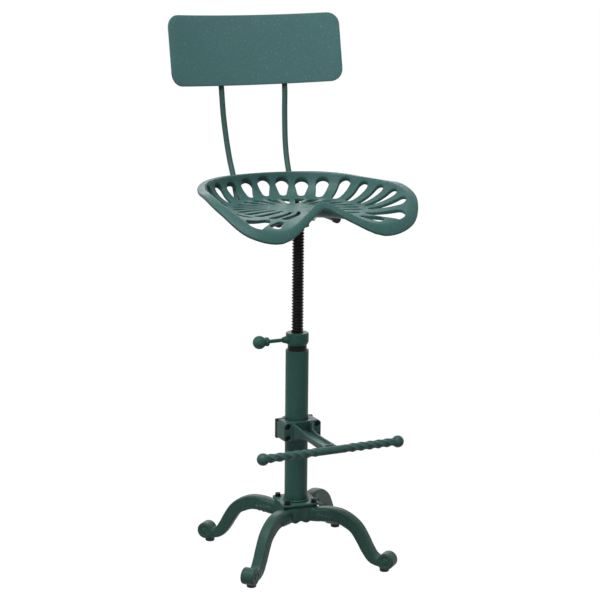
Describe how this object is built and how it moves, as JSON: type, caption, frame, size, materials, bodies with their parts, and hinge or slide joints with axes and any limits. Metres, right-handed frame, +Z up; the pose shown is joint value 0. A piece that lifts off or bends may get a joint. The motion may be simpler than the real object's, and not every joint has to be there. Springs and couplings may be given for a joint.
{
  "type": "tractor seat stool",
  "caption": "Height-adjustable stool with a pierced dished metal seat and curved back panel on a screw column, a twisted footrest bar and a scrolled four-leg cast base.",
  "frame": {"origin": "centre of the whole stool's footprint, on the floor; the column's axis is parallel to Z and lies 33.3 mm in front of it", "axes": "+Z up along the column, -Y to the front of the seat, +X to the sitter's left, which is on the right as seen from the front"},
  "size_m": [0.4524, 0.4432, 1.136],
  "materials": {
    "painted_casting": "satin green paint",
    "painted_seat": "satin green paint with fine pale speckles",
    "painted_panel": "satin green paint with fine pale speckles",
    "painted_steel": "satin green paint",
    "black_steel": "satin black",
    "plain_steel": "plain steel",
    "black_rubber": "matt black",
    "pale_nylon": "matt"
  },
  "bodies": {
    "base": {"base_casting": "painted_casting", "column_base_plate": "painted_steel", "column_tube": "painted_steel", "foot_pad_1": "black_rubber", "foot_pad_2": "black_rubber", "foot_pad_3": "black_rubber", "foot_pad_4": "black_rubber", "plate_bolt_1": "black_steel", "plate_bolt_2": "black_steel", "plate_bolt_3": "black_steel", "plate_bolt_4": "black_steel", "plate_washer_1": "black_steel", "plate_washer_2": "black_steel", "plate_washer_3": "black_steel", "plate_washer_4": "black_steel", "thread_bush": "black_steel"},
    "lock": {"lock_collar": "painted_steel", "lock_handle_ball": "painted_steel", "lock_handle_rod": "painted_steel"},
    "guide": {"screw_guide": "pale_nylon"},
    "seat": {"backrest_panel": "painted_panel", "backrest_rod_left": "painted_steel", "backrest_rod_right": "painted_steel", "backrest_screw_1": "black_steel", "backrest_screw_2": "black_steel", "backrest_screw_3": "black_steel", "backrest_screw_4": "black_steel", "height_screw": "black_steel", "rod_end_cap_left": "black_rubber", "rod_end_cap_right": "black_rubber", "seat_bolt_1": "painted_steel", "seat_bolt_2": "painted_steel", "seat_bolt_3": "painted_steel", "seat_bolt_4": "painted_steel", "seat_carrier": "black_steel", "seat_hub": "painted_steel", "seat_nut_1": "plain_steel", "seat_nut_2": "plain_steel", "seat_nut_3": "plain_steel", "seat_nut_4": "plain_steel", "seat_pan": "painted_seat", "stop_bolt": "plain_steel", "stop_washer": "plain_steel"},
    "footrest": {"clamp_bolt_1": "black_steel", "clamp_bolt_2": "black_steel", "clamp_bolt_3": "black_steel", "clamp_bolt_4": "black_steel", "footrest_bar": "painted_steel", "footrest_bracket": "painted_steel", "footrest_clamp_rear": "black_steel"}
  },
  "joints": [
    {"name": "seat_height", "type": "slide", "parent": "base", "child": "guide", "axis": [0, 0, 1], "range_m": [-0.2098, 0.032]},
    {"name": "seat_turn", "type": "hinge", "parent": "guide", "child": "seat", "pos_m": [0, -0.03333, 0.5], "axis": [0, 0, 1], "range_deg": [-11880, 1800]},
    {"name": "lock_turn", "type": "hinge", "parent": "base", "child": "lock", "pos_m": [0, -0.03333, 0.477], "axis": [0, 0, 1], "range_deg": [0, 90]},
    {"name": "footrest_slide", "type": "slide", "parent": "base", "child": "footrest", "axis": [0, 0, 1], "range_m": [-0.115, 0.14]}
  ],
  "couplings": [
    {"joint": "seat_height", "follows": "seat_turn", "m_per_rad": 0.0010106}
  ]
}
